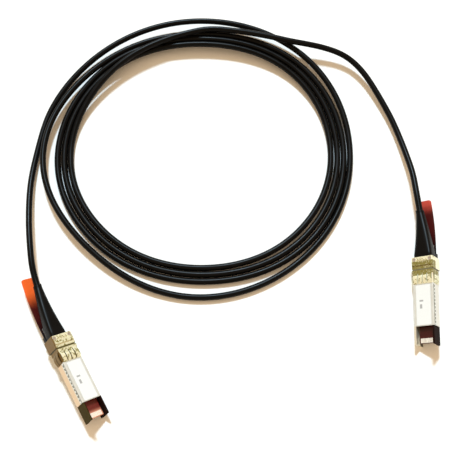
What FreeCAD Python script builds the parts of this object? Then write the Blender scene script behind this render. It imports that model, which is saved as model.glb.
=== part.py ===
import FreeCAD, Part

import math
import os

import Sketcher
from FreeCAD import Placement, Rotation, Vector

# Direct attach copper cable: one round black cable, loosely coiled, with a metal plug on
# each end.  Each plug is drawn in its own frame (x from the boot to the mating end, y across,
# z out of the label face, origin on the cable's axis at the rear of the metal) and is then
# laid down on its lower edges, rolled a little towards the coil.

doc = FreeCAD.newDocument("direct_attach_cable")
sheet = doc.addObject("Spreadsheet::Sheet", "dim")

SIZES = [
    ("cable_dia", 4.2, "outer diameter of the jacket"),
    ("shell_length", 56.2, "metal of the plug, boot to mating end"),
    ("body_width", 13.6, "the part that enters the port"),
    ("body_height", 8.5, "the part that enters the port"),
    ("side_wall", 0.8, "side walls of the base"),
    ("edge_round", 0.5, "rounding along the base's outer edges"),
    ("rear_length", 7.8, "block that stays outside the port"),
    ("rear_width", 14.2, "width of that block"),
    ("rear_rise", 0.7, "block above the body"),
    ("rear_drop", 2.4, "block below the body"),
    ("cap_step", 5.6, "where the cap steps down to the body's height"),
    ("grip_start", 2.2, "shallow groove across the cap"),
    ("grip_end", 4.4, "shallow groove across the cap"),
    ("grip_depth", 0.35, "shallow groove across the cap"),
    ("grip_width", 7.6, "shallow groove across the cap"),
    ("deck_below", 0.75, "inner floor of the base below the centreline"),
    ("cover_thick", 0.8, "lid over the base"),
    ("lip_depth", 0.7, "lid's lip inside the side walls"),
    ("lip_width", 0.8, "lid's lip inside the side walls"),
    ("fit_gap", 0.1, "clearance between parts that drop into each other"),
    ("mouth_length", 11.5, "open end in front of the lid"),
    ("nose_step", 0.25, "sides of the nose frame set back"),
    ("nose_wall", 1.05, "side walls of the nose frame"),
    ("peg_length", 3.0, "nose frame's pegs inside the base"),
    ("peg_low", 1.4, "nose frame's pegs, above the centreline"),
    ("peg_high", 2.5, "nose frame's pegs, above the centreline"),
    ("host_cut_length", 6.5, "floor opening for the port's connector"),
    ("host_cut_width", 10.2, "floor opening for the port's connector"),
    ("card_thick", 1.0, "circuit board"),
    ("card_width", 9.2, "board's tongue"),
    ("card_clear", 0.3, "board's clearance to each side wall"),
    ("card_rear", 20.2, "rear edge of the board"),
    ("card_setback", 1.0, "board's edge behind the mating end"),
    ("card_lift", 0.9, "ledges above the inner floor"),
    ("card_chamfer", 0.3, "lead-in on the board's edge"),
    ("tongue_length", 10.6, "narrow part of the board"),
    ("ledge_width", 1.0, "ledges that carry the board"),
    ("clamp_start", 22.2, "lid's ribs on the board"),
    ("clamp_length", 6.0, "lid's ribs on the board"),
    ("pad_pitch", 0.8, "contact fingers"),
    ("pad_width", 0.56, "contact fingers"),
    ("pad_length", 2.9, "contact fingers"),
    ("pad_thick", 0.06, "contact fingers"),
    ("pad_setback", 0.35, "contact fingers behind the board's edge"),
    ("chip_side", 3.0, "memory chip"),
    ("chip_height", 0.9, "memory chip"),
    ("chip_place", 32.0, "memory chip along the board"),
    ("capacitor_length", 1.0, "coupling capacitors"),
    ("capacitor_width", 0.6, "coupling capacitors"),
    ("label_start", 18.4, "blank label"),
    ("label_end", 0.5, "lid in front of the label"),
    ("label_width", 9.6, "blank label"),
    ("label_thick", 0.12, "blank label and its recess"),
    ("label_margin", 0.15, "recess around the label"),
    ("collar_start", 8.6, "spring collar"),
    ("collar_band", 2.2, "closed band of the collar"),
    ("collar_thick", 0.2, "sheet of the collar"),
    ("finger_length", 6.8, "spring fingers"),
    ("finger_rise", 0.75, "crest of the fingers above the body"),
    ("finger_slot", 0.7, "slots between the fingers"),
    ("finger_pitch", 3.1, "fingers on the wide faces"),
    ("side_finger_span", 6.4, "two fingers on each flank"),
    ("pocket_width", 8.8, "latch pocket under the base"),
    ("pocket_end", 25.6, "latch pocket under the base"),
    ("pocket_start", 9.0, "deep part of the latch pocket"),
    ("pocket_roof", 1.45, "deep part, below the centreline"),
    ("channel_roof", 3.2, "shallow part, below the centreline"),
    ("riser_room", 2.6, "rear end of the shallow part"),
    ("slot_roof", 5.0, "slider's slot under the rear block"),
    ("keeper_thick", 0.5, "plate that closes the slot"),
    ("keeper_length", 6.8, "plate that closes the slot"),
    ("keeper_width", 11.6, "plate that closes the slot"),
    ("slider_width", 8.2, "release slider"),
    ("slider_thick", 0.8, "release slider"),
    ("slider_tail", 10.0, "slider behind the metal"),
    ("riser_start", 5.6, "step between the slider's tail and rails"),
    ("riser_length", 1.2, "step between the slider's tail and rails"),
    ("rail_width", 1.1, "slider's rails"),
    ("rail_end", 25.2, "front of the rails"),
    ("rail_top", 3.35, "rails below the centreline"),
    ("ramp_start", 22.4, "foot of the ramps"),
    ("ramp_run", 2.0, "length of the ramps"),
    ("ramp_rise", 1.0, "height of the ramps"),
    ("pivot_along", 10.8, "latch pivot"),
    ("pivot_below", 2.5, "latch pivot below the centreline"),
    ("pin_dia", 0.8, "latch pin"),
    ("pin_seat", 1.2, "pin's hold in each wall of the pocket"),
    ("pin_clearance", 0.05, "radial running clearance in the lever"),
    ("barrel_dia", 1.7, "lever's eye"),
    ("lever_width", 5.0, "latch lever"),
    ("lever_thick", 0.9, "latch lever"),
    ("lever_top", 2.85, "lever below the centreline"),
    ("lever_end", 22.4, "latch lever"),
    ("lever_window", 4.0, "window for the spring, in front of the pivot"),
    ("window_width", 2.0, "window for the spring"),
    ("ear_start", 20.6, "lever's ears above the rails"),
    ("ear_length", 1.4, "lever's ears above the rails"),
    ("ear_thick", 0.4, "lever's ears above the rails"),
    ("ear_span", 7.8, "lever's ears above the rails"),
    ("boss_start", 18.9, "latch boss"),
    ("boss_flat", 0.8, "latch boss"),
    ("boss_length", 3.2, "latch boss"),
    ("boss_height", 1.35, "latch boss below the lever"),
    ("boss_width", 2.6, "latch boss"),
    ("spring_wire", 0.26, "torsion spring"),
    ("spring_mean", 1.2, "torsion spring, mean diameter"),
    ("spring_turns", 2.5, "torsion spring"),
    ("spring_leg", 2.2, "torsion spring's free leg"),
    ("tab_width", 10.4, "pull tab"),
    ("tab_thick", 0.7, "pull tab"),
    ("tab_reach", 41.3, "pull tab behind the metal"),
    ("tab_front", 0.8, "pull tab's front edge behind the metal"),
    ("tab_round", 2.2, "pull tab's corners"),
    ("holder_length", 3.0, "sleeve round the tab's root"),
    ("holder_width", 11.6, "sleeve round the tab's root"),
    ("holder_wall", 0.35, "sleeve round the tab's root"),
    ("rivet_back", 6.0, "rivet behind the metal"),
    ("rivet_dia", 2.4, "rivet's shank"),
    ("rivet_head", 4.0, "rivet's heads"),
    ("rivet_head_thick", 0.35, "rivet's heads"),
    ("boot_length", 33.0, "moulded strain relief"),
    ("boot_width", 12.2, "strain relief at the metal"),
    ("boot_height", 9.2, "strain relief at the metal"),
    ("boot_round", 3.0, "strain relief's corners at the metal"),
    ("boot_straight", 2.4, "untapered stretch at the metal"),
    ("boot_tip", 5.2, "strain relief at its thin end"),
    ("boot_tip_round", 2.5, "strain relief's corners at its thin end"),
    ("ferrule_start", 0.6, "crimp ferrule"),
    ("ferrule_length", 6.4, "crimp ferrule"),
    ("ferrule_wall", 0.8, "crimp ferrule"),
    ("ferrule_flange", 1.2, "wide end of the ferrule"),
    ("ferrule_waist", 0.25, "how much the crimped part is narrower"),
    ("jacket_end", 6.4, "where the jacket is stripped"),
    ("wire_dia", 0.9, "insulated conductors"),
    ("wire_pitch", 1.7, "conductors side by side on the board"),
    ("wire_landing", 3.0, "conductors' length on the board"),
    ("screw_along", 1.6, "cap screws"),
    ("screw_apart", 10.6, "cap screws"),
    ("screw_dia", 1.4, "cap screws' thread"),
    ("screw_hold", 3.5, "cap screws' length in the base"),
    ("screw_head", 2.4, "cap screws' head"),
    ("screw_head_thick", 0.6, "cap screws' head"),
    ("screw_socket", 1.0, "cap screws' socket"),
    ("left_rear_x", -107.19, "rear of the left plug's metal"),
    ("left_rear_y", -20.17, "rear of the left plug's metal"),
    ("left_heading", -61.0, "direction of the left plug, degrees from +X"),
    ("left_roll", -35.0, "roll about its length, degrees"),
    ("right_rear_x", 124.57, "rear of the right plug's metal"),
    ("right_rear_y", 31.34, "rear of the right plug's metal"),
    ("right_heading", -92.9, "direction of the right plug, degrees from +X"),
    ("right_roll", 38.0, "roll about its length, degrees"),
    ("left_bend", -0.6, "how far the strain relief's end is bent sideways"),
    ("right_bend", -2.4, "how far the strain relief's end is bent sideways"),
    ("tip_straight", 8.0, "straight cable behind each strain relief"),
    ("coil_x", -21.04, "centre of the coil"),
    ("coil_y", 109.14, "centre of the coil"),
]

for row, (alias, value, note) in enumerate(SIZES, start=1):
    sheet.set(f"A{row}", alias)
    sheet.set(f"B{row}", str(value))
    sheet.set(f"C{row}", note)
    sheet.setAlias(f"B{row}", alias)
doc.recompute()

nodes = []


def size(alias):
    """The number in a named cell of the sheet."""
    return float(sheet.get(alias))


def bind(thing, pairs):
    """Tie properties of an object to expressions on the sheet."""
    for path, text in pairs.items():
        thing.setExpression(path, text)


def finish_node(thing, label, place):
    """Name a finished sub-part, lay it in its plug's place and keep it for export."""
    doc.recompute()
    thing.Label = label
    thing.Placement = place
    nodes.append(thing)
    return thing


# ---- drawing helpers ----------------------------------------------------------------------

def new_body(label):
    return doc.addObject("PartDesign::Body", label + "_body")


def origin_plane(body, role):
    return [f for f in body.Origin.OriginFeatures if f.Role == role][0]


def outline(body, role, loops, height="0 mm"):
    """Sketch of closed straight-sided loops; each corner is a pair of expressions."""
    sketch = body.newObject("Sketcher::SketchObject", "outline")
    sketch.AttachmentSupport = (origin_plane(body, role), [""])
    sketch.MapMode = "FlatFace"
    sketch.setExpression("AttachmentOffset.Base.z", height)
    for ring, corners in enumerate(loops):
        first = sketch.GeometryCount
        count = len(corners)
        rough = [Vector(40 * ring + 10 * math.cos(2 * math.pi * k / count),
                        10 * math.sin(2 * math.pi * k / count), 0) for k in range(count)]
        for k in range(count):
            sketch.addGeometry(Part.LineSegment(rough[k], rough[(k + 1) % count]))
        for k in range(count):
            here = Sketcher.Constraint("Coincident", first + k, 2, first + (k + 1) % count, 1)
            sketch.addConstraint(here)
        for k, (across, up) in enumerate(corners):
            for kind, text, guess in (("DistanceX", across, rough[k].x),
                                      ("DistanceY", up, rough[k].y)):
                index = sketch.addConstraint(
                    Sketcher.Constraint(kind, -1, 1, first + k, 1, guess))
                sketch.setExpression(f"Constraints[{index}]", text)
    return sketch


def circle_outline(body, role, circles, height="0 mm"):
    """Sketch of circles, each given as expressions for its centre and its radius."""
    sketch = body.newObject("Sketcher::SketchObject", "circles")
    sketch.AttachmentSupport = (origin_plane(body, role), [""])
    sketch.MapMode = "FlatFace"
    sketch.setExpression("AttachmentOffset.Base.z", height)
    for k, (across, up, radius) in enumerate(circles):
        sketch.addGeometry(Part.Circle(Vector(20 * k, 5, 0), Vector(0, 0, 1), 1.0))
        for kind, text in (("DistanceX", across), ("DistanceY", up)):
            index = sketch.addConstraint(Sketcher.Constraint(kind, -1, 1, k, 3, 5.0))
            sketch.setExpression(f"Constraints[{index}]", text)
        index = sketch.addConstraint(Sketcher.Constraint("Radius", k, 1.0))
        sketch.setExpression(f"Constraints[{index}]", radius)
    return sketch


def rectangle(left, right, low, high):
    return [(left, low), (right, low), (right, high), (left, high)]


def lower_corners(half, low):
    """Bevelled lower edge of a cross-section, from its left side to its right side."""
    return [(f"-({half})", f"{low} + dim.edge_round"),
            (f"-({half} - dim.edge_round)", low), (f"{half} - dim.edge_round", low),
            (half, f"{low} + dim.edge_round")]


def upper_corners(half, high):
    """Bevelled upper edge of a cross-section, from its right side to its left side."""
    return [(half, f"{high} - dim.edge_round"), (f"{half} - dim.edge_round", high),
            (f"-({half} - dim.edge_round)", high), (f"-({half})", f"{high} - dim.edge_round")]


def mirrored_strip(inner, outer, low, high):
    """Two rectangles, one each side of the sketch's upright axis."""
    return [rectangle(inner, outer, low, high),
            rectangle(f"-({outer})", f"-({inner})", low, high)]


def volume_of(body):
    return 0.0 if body.Shape.isNull() else body.Shape.Volume


def pad(body, sketch, length, midplane=False, reversed_way=False):
    before = volume_of(body)
    feature = body.newObject("PartDesign::Pad", "pad")
    feature.Profile = sketch
    feature.setExpression("Length", length)
    feature.Midplane = midplane
    feature.Reversed = reversed_way
    doc.recompute()
    if not volume_of(body) > before + 1e-6:
        raise RuntimeError(f"{body.Name}: {feature.Name} adds nothing")
    return feature


def pocket(body, sketch, length=None, midplane=False, reversed_way=False):
    """Cut a sketch out of the body; without a length it goes through everything."""
    before = volume_of(body)
    feature = body.newObject("PartDesign::Pocket", "pocket")
    feature.Profile = sketch
    feature.Midplane = midplane
    feature.Reversed = reversed_way
    if length is None:
        feature.Type = "ThroughAll"
    else:
        feature.setExpression("Length", length)
    doc.recompute()
    if not 0 < volume_of(body) < before - 1e-6:
        raise RuntimeError(f"{body.Name}: {feature.Name} cuts nothing")
    return feature


def edges_where(shape, test):
    """Names of a shape's straight edges whose two ends pass the test."""
    names = []
    for k, edge in enumerate(shape.Edges, start=1):
        ends = [vertex.Point for vertex in edge.Vertexes]
        if len(ends) == 2 and test(ends[0], ends[1]):
            names.append(f"Edge{k}")
    return names


def soften(body, kind, names, amount):
    """Fillet or chamfer named edges of the body's last feature."""
    base = body.Tip
    feature = body.newObject("PartDesign::" + kind, kind.lower())
    feature.Base = (base, names)
    feature.setExpression("Radius" if kind == "Fillet" else "Size", amount)
    doc.recompute()
    if not names or "Invalid" in feature.State:
        raise RuntimeError(f"{body.Name}: {feature.Name} failed")
    return feature


def lengthwise(a, b):
    return abs(a.x - b.x) > 1.0 and abs(a.y - b.y) < 1e-4 and abs(a.z - b.z) < 1e-4


def box(name, length, width, height, x, y, z):
    """Part box from expressions for its sides and its low corner."""
    thing = doc.addObject("Part::Box", name)
    bind(thing, {"Length": length, "Width": width, "Height": height,
                 "Placement.Base.x": x, "Placement.Base.y": y, "Placement.Base.z": z})
    return thing


def cylinder(name, radius, height, x, y, z, turn=Rotation()):
    """Part cylinder from expressions for its size and the centre of its low face."""
    thing = doc.addObject("Part::Cylinder", name)
    thing.Placement.Rotation = turn
    bind(thing, {"Radius": radius, "Height": height,
                 "Placement.Base.x": x, "Placement.Base.y": y, "Placement.Base.z": z})
    return thing


def fuse(name, parts):
    thing = doc.addObject("Part::MultiFuse", name)
    thing.Shapes = parts
    return thing


def cut(name, base, tool):
    thing = doc.addObject("Part::Cut", name)
    thing.Base = base
    thing.Tool = tool
    return thing


def compound(name, parts):
    thing = doc.addObject("Part::Compound", name)
    thing.Links = parts
    return thing


ALONG_X = Rotation(Vector(0, 1, 0), 90)
ALONG_Y = Rotation(Vector(1, 0, 0), -90)


def rounded_path(points, label=None):
    """Straight runs joined by tangent arcs, each arc as large as its two runs allow."""
    edges = []
    radii = []
    start = points[0]
    for before, corner, after in zip(points, points[1:], points[2:]):
        back = before - corner
        ahead = after - corner
        turn = math.pi - back.getAngle(ahead)
        trim = 0.45 * min(back.Length, ahead.Length)
        radii.append(trim / math.tan(turn / 2))
        enter = corner + back.normalize() * trim
        leave = corner + ahead.normalize() * trim
        middle = (back + ahead).normalize()
        rise = radii[-1] / math.cos(turn / 2) - radii[-1]
        edges.append(Part.LineSegment(start, enter).toShape())
        edges.append(Part.Arc(enter, corner + middle * rise, leave).toShape())
        start = leave
    edges.append(Part.LineSegment(start, points[-1]).toShape())
    if label:
        print(label, "arc radii, mm:", [round(r) for r in radii])
    return Part.Wire(edges)


def tube(points, diameter, label=None):
    """Round bar along a rounded path, with its volume checked against section times length."""
    path = rounded_path(points, label)
    heading = (points[1] - points[0]).normalize()
    ring = Part.Wire(Part.Circle(points[0], heading, diameter / 2).toShape())
    shape = path.makePipeShell([ring], True, False)
    expected = math.pi * diameter ** 2 / 4 * path.Length
    if abs(shape.Volume / expected - 1) > 0.01:
        raise RuntimeError(f"{label}: swept volume is off")
    return shape


# ---- where the plugs lie --------------------------------------------------------------------

def resting_place(side):
    """Placement of a rolled plug whose rear block and mating end both touch the floor."""
    roll = size(side + "_roll")
    lean = math.radians(abs(roll))
    bevel = size("edge_round")

    def corner_drop(half_width, depth):
        return max((half_width - bevel) * math.sin(lean) + depth * math.cos(lean),
                   half_width * math.sin(lean) + (depth - bevel) * math.cos(lean))

    rear = corner_drop(size("rear_width") / 2, size("body_height") / 2 + size("rear_drop"))
    nose = corner_drop(size("body_width") / 2 - size("nose_step"), size("body_height") / 2)
    pitch = math.atan((rear - nose) / (size("shell_length") - size("rear_length")))
    height = size("rear_length") * math.sin(pitch) + rear * math.cos(pitch)
    base = Vector(size(side + "_rear_x"), size(side + "_rear_y"), height)
    turn = Rotation(size(side + "_heading"), math.degrees(pitch), roll)
    return Placement(base, turn)


# ---- pieces of one plug ---------------------------------------------------------------------

BOTTOM = "-dim.body_height / 2"
WALL_TOP = "dim.body_height / 2 - dim.cover_thick"
BLOCK_BOTTOM = "-dim.body_height / 2 - dim.rear_drop"
INNER_HALF = "dim.body_width / 2 - dim.side_wall"
CARD_LOW = "dim.card_lift - dim.deck_below"
CARD_HIGH = "dim.card_lift - dim.deck_below + dim.card_thick"
LID_END = "dim.shell_length - dim.mouth_length"
LABEL_LENGTH = f"{LID_END} - dim.label_end - dim.label_start"
CARD_HALF = f"{INNER_HALF} - dim.card_clear"


def base_shell(side, place):
    """Die-cast trough with the rear block, card ledges and the latch pocket underneath."""
    body = new_body(side + "_base_shell")
    half = "dim.body_width / 2"
    keel = lower_corners(half, BOTTOM)
    trough = keel + [(half, WALL_TOP), (INNER_HALF, WALL_TOP),
                     (INNER_HALF, "-dim.deck_below"), (f"-({INNER_HALF})", "-dim.deck_below"),
                     (f"-({INNER_HALF})", WALL_TOP), ("-" + half, WALL_TOP)]
    sketch = outline(body, "YZ_Plane", [trough], "dim.rear_length")
    pad(body, sketch, f"{LID_END} - dim.rear_length")
    wide = "dim.rear_width / 2"
    block = lower_corners(wide, BLOCK_BOTTOM) + [(wide, "0"), ("-" + wide, "0")]
    pad(body, outline(body, "YZ_Plane", [block]), "dim.rear_length")

    ledges = mirrored_strip(f"{INNER_HALF} - dim.ledge_width", INNER_HALF,
                            "-dim.deck_below", CARD_LOW)
    sketch = outline(body, "YZ_Plane", ledges, "dim.card_rear")
    pad(body, sketch, f"{LID_END} - dim.card_rear")

    bore = circle_outline(body, "YZ_Plane", [("0", "0", "dim.cable_dia / 2 + dim.ferrule_wall")])
    pocket(body, bore, "dim.rear_length", reversed_way=True)
    deep = "-(dim.body_height + dim.rear_drop)"
    latch = [("-1", deep), ("-1", "-dim.slot_roof"), ("dim.riser_room", "-dim.slot_roof"),
             ("dim.riser_room", "-dim.channel_roof"), ("dim.pocket_start", "-dim.channel_roof"),
             ("dim.pocket_start", "-dim.pocket_roof"), ("dim.pocket_end", "-dim.pocket_roof"),
             ("dim.pocket_end", deep)]
    pocket(body, outline(body, "XZ_Plane", [latch]), "dim.pocket_width", midplane=True)
    seat = rectangle("dim.rear_length / 2 - dim.keeper_length / 2",
                     "dim.rear_length / 2 + dim.keeper_length / 2",
                     "-dim.keeper_width / 2", "dim.keeper_width / 2")
    sketch = outline(body, "XY_Plane", [seat], BLOCK_BOTTOM)
    pocket(body, sketch, "dim.keeper_thick", reversed_way=True)
    hole = circle_outline(body, "XZ_Plane",
                          [("dim.pivot_along", "-dim.pivot_below", "dim.pin_dia / 2")])
    pocket(body, hole, "dim.pocket_width + 2 * dim.pin_seat", midplane=True)
    threads = [("dim.screw_along", way + "dim.screw_apart / 2", "dim.screw_dia / 2")
               for way in ("", "-")]
    pocket(body, circle_outline(body, "XY_Plane", threads), "dim.screw_hold")
    return finish_node(body, side + "_base_shell", place)


def nose_frame(side, place):
    """Dark U-shaped frame round the board's tongue, pegged into the front of the base."""
    body = new_body(side + "_nose_frame")
    slim = "dim.body_width / 2 - dim.nose_step"
    inner = f"{slim} - dim.nose_wall"
    top = "dim.body_height / 2"
    section = lower_corners(slim, BOTTOM) + [(slim, top), (inner, top),
                                             (inner, "-dim.deck_below"),
                                             (f"-({inner})", "-dim.deck_below"),
                                             (f"-({inner})", top), (f"-({slim})", top)]
    pad(body, outline(body, "YZ_Plane", [section], LID_END), "dim.mouth_length")
    floor = rectangle("dim.shell_length - dim.host_cut_length", "dim.shell_length + 1",
                      "-dim.host_cut_width / 2", "dim.host_cut_width / 2")
    pocket(body, outline(body, "XY_Plane", [floor]), "dim.body_height", midplane=True)
    pegs = mirrored_strip(inner, f"{INNER_HALF} - dim.fit_gap", "dim.peg_low", "dim.peg_high")
    sketch = outline(body, "YZ_Plane", pegs, f"{LID_END} - dim.peg_length")
    pad(body, sketch, "dim.peg_length")
    return finish_node(body, side + "_nose_frame", place)


def rear_cap(side, place):
    """Upper half of the rear block, clamped on the ferrule by two screws."""
    body = new_body(side + "_rear_cap")
    top = "dim.body_height / 2 + dim.rear_rise"
    profile = [("0", "0"), ("dim.rear_length", "0"), ("dim.rear_length", "dim.body_height / 2"),
               ("dim.cap_step", "dim.body_height / 2"), ("dim.cap_step", top), ("0", top)]
    pad(body, outline(body, "XZ_Plane", [profile]), "dim.rear_width", midplane=True)
    high = size("body_height") / 2 + size("rear_rise") - 1e-4
    edges = edges_where(body.Shape, lambda a, b: lengthwise(a, b) and a.z > high)
    soften(body, "Fillet", edges, "dim.edge_round")
    groove = rectangle("dim.grip_start", "dim.grip_end", "-dim.grip_width / 2",
                       "dim.grip_width / 2")
    pocket(body, outline(body, "XY_Plane", [groove], top), "dim.grip_depth")
    bore = circle_outline(body, "YZ_Plane", [("0", "0", "dim.cable_dia / 2 + dim.ferrule_wall")])
    pocket(body, bore, "dim.rear_length", reversed_way=True)
    for radius, height in (("dim.screw_dia / 2", "0 mm"),
                           ("dim.screw_head / 2", top + " - dim.screw_head_thick")):
        holes = [("dim.screw_along", way + "dim.screw_apart / 2", radius) for way in ("", "-")]
        sketch = circle_outline(body, "XY_Plane", holes, height)
        pocket(body, sketch, "dim.body_height", reversed_way=True)
    return finish_node(body, side + "_rear_cap", place)


def cap_screws(side, place):
    """Two socket-head screws that hold the cap down on the base."""
    seat = "dim.body_height / 2 + dim.rear_rise - dim.screw_head_thick"
    screws = []
    for way in ("", "-"):
        y = way + "dim.screw_apart / 2"
        shank = cylinder("shank", "dim.screw_dia / 2", f"dim.screw_hold + {seat}",
                         "dim.screw_along", y, "-dim.screw_hold")
        head = cylinder("head", "dim.screw_head / 2", "dim.screw_head_thick",
                        "dim.screw_along", y, seat)
        socket = doc.addObject("Part::Prism", "socket")
        socket.Polygon = 6
        bind(socket, {"Circumradius": "dim.screw_socket / 2",
                      "Height": "dim.screw_head_thick",
                      "Placement.Base.x": "dim.screw_along", "Placement.Base.y": y,
                      "Placement.Base.z": seat + " + dim.screw_head_thick / 2"})
        screws.append(cut("screw", fuse("bolt", [shank, head]), socket))
    return finish_node(compound("cap_screws", screws), side + "_cap_screws", place)


def top_cover(side, place):
    """Lid with lips inside the side walls, ribs on the board and a recess for the label."""
    body = new_body(side + "_top_cover")
    half = "dim.body_width / 2"
    lip_out = f"{INNER_HALF} - dim.fit_gap"
    lip_in = f"{INNER_HALF} - dim.fit_gap - dim.lip_width"
    lip_low = f"{WALL_TOP} - dim.lip_depth"
    section = [("-" + half, WALL_TOP), (f"-({lip_out})", WALL_TOP), (f"-({lip_out})", lip_low),
               (f"-({lip_in})", lip_low), (f"-({lip_in})", WALL_TOP), (lip_in, WALL_TOP),
               (lip_in, lip_low), (lip_out, lip_low), (lip_out, WALL_TOP), (half, WALL_TOP)]
    section += upper_corners(half, "dim.body_height / 2")
    sketch = outline(body, "YZ_Plane", [section], "dim.rear_length")
    pad(body, sketch, f"{LID_END} - dim.rear_length")
    ribs = mirrored_strip(f"{CARD_HALF} - dim.lip_width", CARD_HALF, CARD_HIGH, WALL_TOP)
    pad(body, outline(body, "YZ_Plane", ribs, "dim.clamp_start"), "dim.clamp_length")
    recess = rectangle("dim.label_start - dim.label_margin",
                       f"dim.label_start + {LABEL_LENGTH} + dim.label_margin",
                       "-dim.label_width / 2 - dim.label_margin",
                       "dim.label_width / 2 + dim.label_margin")
    sketch = outline(body, "XY_Plane", [recess], "dim.body_height / 2")
    pocket(body, sketch, "dim.label_thick")
    return finish_node(body, side + "_top_cover", place)


def blank_label(side, place):
    """Blank label laid in the lid's recess."""
    label = box("label", LABEL_LENGTH, "dim.label_width", "dim.label_thick",
                "dim.label_start", "-dim.label_width / 2", "dim.body_height / 2 - dim.label_thick")
    corners = doc.addObject("Part::Fillet", "label_corners")
    corners.Base = label
    doc.recompute()
    upright = [k for k, edge in enumerate(label.Shape.Edges, start=1)
               if abs(edge.Vertexes[0].Z - edge.Vertexes[1].Z) > size("label_thick") / 2]
    corners.Edges = [(k, size("edge_round"), size("edge_round")) for k in upright]
    return finish_node(corners, side + "_blank_label", place)


def paddle_card(side, place):
    """Circuit board with a narrow tongue whose edge is chamfered as a lead-in."""
    body = new_body(side + "_paddle_card")
    front = "dim.shell_length - dim.card_setback"
    neck = front + " - dim.tongue_length"
    shape = [("dim.card_rear", f"-({CARD_HALF})"), (neck, f"-({CARD_HALF})"),
             (neck, "-dim.card_width / 2"), (front, "-dim.card_width / 2"),
             (front, "dim.card_width / 2"), (neck, "dim.card_width / 2"),
             (neck, CARD_HALF), ("dim.card_rear", CARD_HALF)]
    pad(body, outline(body, "XY_Plane", [shape], CARD_LOW), "dim.card_thick")
    edge_x = size("shell_length") - size("card_setback")
    edges = edges_where(body.Shape, lambda a, b: abs(a.x - edge_x) < 1e-4
                        and abs(b.x - edge_x) < 1e-4 and abs(a.y - b.y) > 1.0)
    soften(body, "Chamfer", edges, "dim.card_chamfer")
    return finish_node(body, side + "_paddle_card", place)


def contact_pads(side, place):
    """Ten gold fingers on each face of the board's tongue."""
    pads = []
    for z in (CARD_HIGH, CARD_LOW + " - dim.pad_thick"):
        for k in range(10):
            pads.append(box("finger", "dim.pad_length", "dim.pad_width", "dim.pad_thick",
                            "dim.shell_length - dim.card_setback - dim.pad_setback"
                            " - dim.pad_length",
                            f"{k - 4.5} * dim.pad_pitch - dim.pad_width / 2", z))
    return finish_node(compound("contact_pads", pads), side + "_contact_pads", place)


def card_components(side, place):
    """Memory chip and the coupling capacitors soldered on the board."""
    parts = [box("chip", "dim.chip_side", "dim.chip_side", "dim.chip_height", "dim.chip_place",
                 "-dim.chip_side / 2", CARD_HIGH)]
    for k in range(4):
        parts.append(box("capacitor", "dim.capacitor_length", "dim.capacitor_width",
                         "dim.capacitor_width",
                         "dim.chip_place + 2 * dim.chip_side",
                         f"{k - 1.5} * dim.wire_pitch - dim.capacitor_width / 2", CARD_HIGH))
    return finish_node(compound("card_components", parts), side + "_card_components", place)


def signal_wires(side, place):
    """Two pairs of insulated conductors from the stripped cable onto the board."""
    level = (size("card_lift") - size("deck_below") + size("card_thick")
             + size("wire_dia") / 2)
    start = size("jacket_end")
    landing = size("card_rear")
    radius = size("wire_dia") / 2
    wires = []
    for k in range(4):
        inner = (k - 1.5) * size("wire_dia")
        outer = (k - 1.5) * size("wire_pitch")
        foot = Vector(start, inner, 0)
        bend = Vector(landing, outer, level)
        rising = Part.makeCylinder(radius, (bend - foot).Length, foot, bend - foot)
        flat = Part.makeCylinder(radius, size("wire_landing"), bend, Vector(1, 0, 0))
        wires.append(rising.fuse(flat))
    thing = doc.addObject("Part::Feature", "signal_wires")
    thing.Shape = Part.makeCompound(wires)
    return finish_node(thing, side + "_signal_wires", place)


def relief_spine(side):
    """Cable's line inside one plug: straight in the metal, bent a little in the boot."""
    return [Vector(size("jacket_end"), 0, 0), Vector(-size("boot_length") / 3, 0, 0),
            Vector(-size("boot_length"), size(side + "_bend"), 0)]


def cable_end(side, place):
    """The cable's own end, which runs through the boot into the ferrule."""
    thing = doc.addObject("Part::Feature", "cable_end")
    thing.Shape = tube(relief_spine(side), size("cable_dia"), side + "_cable_end")
    return finish_node(thing, side + "_cable_end", place)


def crimp_ferrule(side, place):
    """Crimped sleeve, narrower behind its flange, gripped between block and cap."""
    outer = "dim.cable_dia / 2 + dim.ferrule_wall"
    flange = cylinder("flange", outer, "dim.ferrule_flange",
                      "dim.ferrule_start + dim.ferrule_length - dim.ferrule_flange",
                      "0", "0", ALONG_X)
    waist = cylinder("waist", outer + " - dim.ferrule_waist", "dim.ferrule_length",
                     "dim.ferrule_start", "0", "0", ALONG_X)
    collar = cylinder("collar", outer, "dim.ferrule_flange", "dim.ferrule_start", "0", "0",
                      ALONG_X)
    bore = cylinder("bore", "dim.cable_dia / 2", "dim.ferrule_length + 2",
                    "dim.ferrule_start - 1", "0", "0", ALONG_X)
    sleeve = cut("ferrule", fuse("sleeve", [flange, waist, collar]), bore)
    return finish_node(sleeve, side + "_crimp_ferrule", place)


def rounded_ring(centre, ahead, width, height, radius):
    """Wire of a rounded rectangle about a centre, square to a level direction."""
    across = Vector(-ahead.y, ahead.x, 0).normalize()
    upright = Vector(0, 0, 1)
    y = width / 2
    z = height / 2
    bend = radius * (1 - math.sqrt(0.5))

    def at(out, up):
        return centre + across * out + upright * up

    spots = [(y, z - radius, y - bend, z - bend, y - radius, z),
             (-y + radius, z, -y + bend, z - bend, -y, z - radius),
             (-y, -z + radius, -y + bend, -z + bend, -y + radius, -z),
             (y - radius, -z, y - bend, -z + bend, y, -z + radius)]
    edges = []
    for k, (y0, z0, y1, z1, y2, z2) in enumerate(spots):
        after = spots[(k + 1) % 4]
        edges.append(Part.Arc(at(y0, z0), at(y1, z1), at(y2, z2)).toShape())
        edges.append(Part.LineSegment(at(y2, z2), at(after[0], after[1])).toShape())
    return Part.Wire(edges)


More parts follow.
